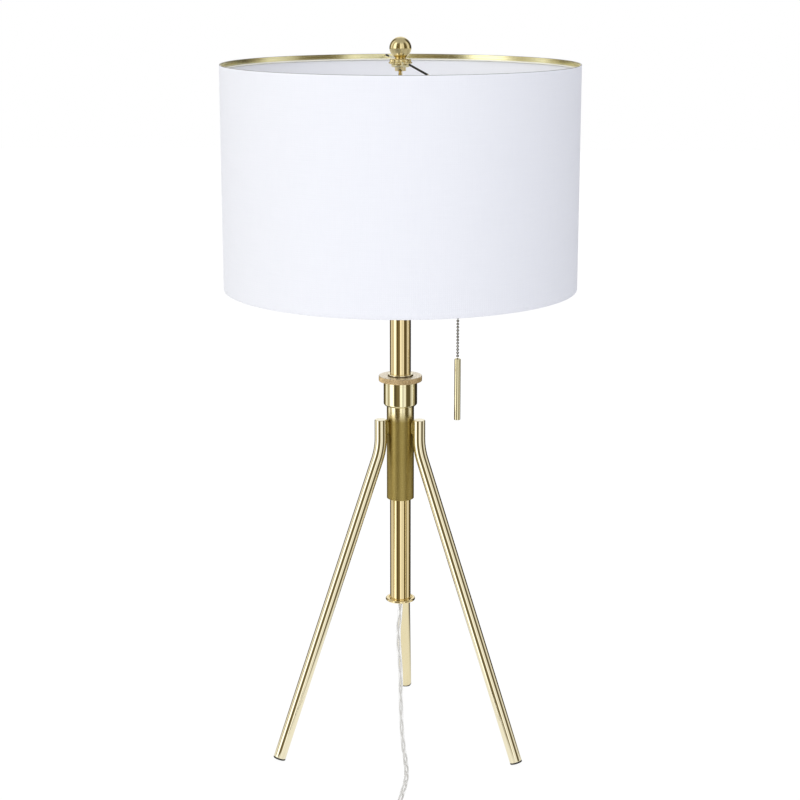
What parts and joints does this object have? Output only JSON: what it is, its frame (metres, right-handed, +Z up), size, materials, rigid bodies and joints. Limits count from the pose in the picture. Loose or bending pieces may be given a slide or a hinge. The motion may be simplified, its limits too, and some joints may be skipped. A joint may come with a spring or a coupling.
{
  "type": "tripod table lamp",
  "caption": "Tripod table lamp with bent brass legs, a sliding pole held by a knurled lock nut, pull-chain socket, drum shade and finial.",
  "frame": {"origin": "on the floor under the pole's axis, at the centre of the base of the lamp's bounding box without its cord", "axes": "+Z up along the pole; -Y is the lamp's front, where its cord leads off; +X is the side of the pull chain"},
  "size_m": [0.3555, 0.4909, 0.7341],
  "materials": {
    "brass_satin": "satin, brushed along its length",
    "brass_polished": "polished",
    "brass_aged": "aged, finely speckled",
    "brass_matte": "matte, knurled",
    "nickel": "bright plated",
    "steel_wire": "plated",
    "shell_aluminium": "plain",
    "nylon_white": "plain",
    "black_plastic": "plain",
    "paper_liner": "plain",
    "frosted_glass": "frosted",
    "white_linen": "fine weave",
    "wire_sheath": "plain",
    "clear_cord": "clear over silvery cores",
    "clear_plug": "clear moulding"
  },
  "bodies": {
    "stand": {"sleeve_tube": "brass_aged", "guide_bush": "nylon_white", "clamp_collar": "brass_satin", "leg_rear": "brass_polished", "leg_left": "brass_polished", "leg_right": "brass_polished", "foot_cap_rear": "black_plastic", "foot_cap_left": "black_plastic", "foot_cap_right": "black_plastic", "cord_inner": "clear_cord", "cord_lead": "clear_cord", "cord_coil": "clear_cord", "cord_tail": "clear_cord", "plug_body": "clear_plug", "plug_blades": "nickel"},
    "nut": {"lock_nut": "brass_matte"},
    "collet": {"collet": "brass_polished"},
    "pole": {"pole_tube": "brass_satin", "end_stop": "brass_satin", "cord_bushing": "black_plastic", "pole_plug": "brass_satin", "nipple": "steel_wire", "harp_saddle": "brass_satin", "jam_nut": "steel_wire", "harp_wire": "brass_satin", "harp_stud": "brass_satin", "socket_cap": "brass_satin", "socket_shell": "brass_satin", "socket_liner": "paper_liner", "switch_housing": "black_plastic", "screw_shell": "shell_aluminium", "contact": "brass_polished", "chain_arm": "brass_satin", "bulb_base": "shell_aluminium", "bulb_glass": "frosted_glass", "lead_wires": "wire_sheath"},
    "chain_upper": {"chain_upper": "nickel"},
    "chain_lower": {"chain_lower": "nickel"},
    "pendant": {"pendant": "brass_satin"},
    "shade": {"shade_drum": "white_linen", "top_band": "brass_polished", "bottom_ring": "steel_wire", "spider": "steel_wire"},
    "finial": {"finial": "brass_aged"},
    "ferrule_front": {"ferrule_front": "brass_satin"},
    "ferrule_rear": {"ferrule_rear": "brass_satin"}
  },
  "joints": [
    {"name": "nut_turn", "type": "hinge", "parent": "stand", "child": "nut", "pos_m": [0, 0, 0.3897], "axis": [0, 0, 1], "range_deg": [0, 270]},
    {"name": "pole_swivel", "type": "hinge", "parent": "stand", "child": "collet", "pos_m": [0, 0, 0.387], "axis": [0, 0, 1], "range_deg": [-180, 180]},
    {"name": "pole_slide", "type": "slide", "parent": "collet", "child": "pole", "axis": [0, 0, 1], "range_m": [-0.075, 0.105]},
    {"name": "chain_pull", "type": "slide", "parent": "pole", "child": "chain_upper", "axis": [0, 0, -1], "range_m": [0, 0.012], "stiffness_N_per_m": 800, "springref_m": -0.003},
    {"name": "chain_swing", "type": "hinge", "parent": "chain_upper", "child": "chain_lower", "pos_m": [0.0583, 0, 0.4953], "axis": [0, 1, 0], "range_deg": [-45, 12]},
    {"name": "pendant_swing", "type": "hinge", "parent": "chain_lower", "child": "pendant", "pos_m": [0.0583, 0, 0.4128], "axis": [1, 0, 0], "range_deg": [-45, 45]},
    {"name": "shade_turn", "type": "hinge", "parent": "pole", "child": "shade", "pos_m": [0, 0, 0.706], "axis": [0, 0, 1], "continuous": true},
    {"name": "finial_turn", "type": "hinge", "parent": "pole", "child": "finial", "pos_m": [0, 0, 0.71], "axis": [0, 0, 1], "continuous": true},
    {"name": "ferrule_front_slide", "type": "slide", "parent": "pole", "child": "ferrule_front", "axis": [0, 0, 1], "range_m": [0, 0.01]},
    {"name": "ferrule_rear_slide", "type": "slide", "parent": "pole", "child": "ferrule_rear", "axis": [0, 0, 1], "range_m": [0, 0.01]}
  ]
}
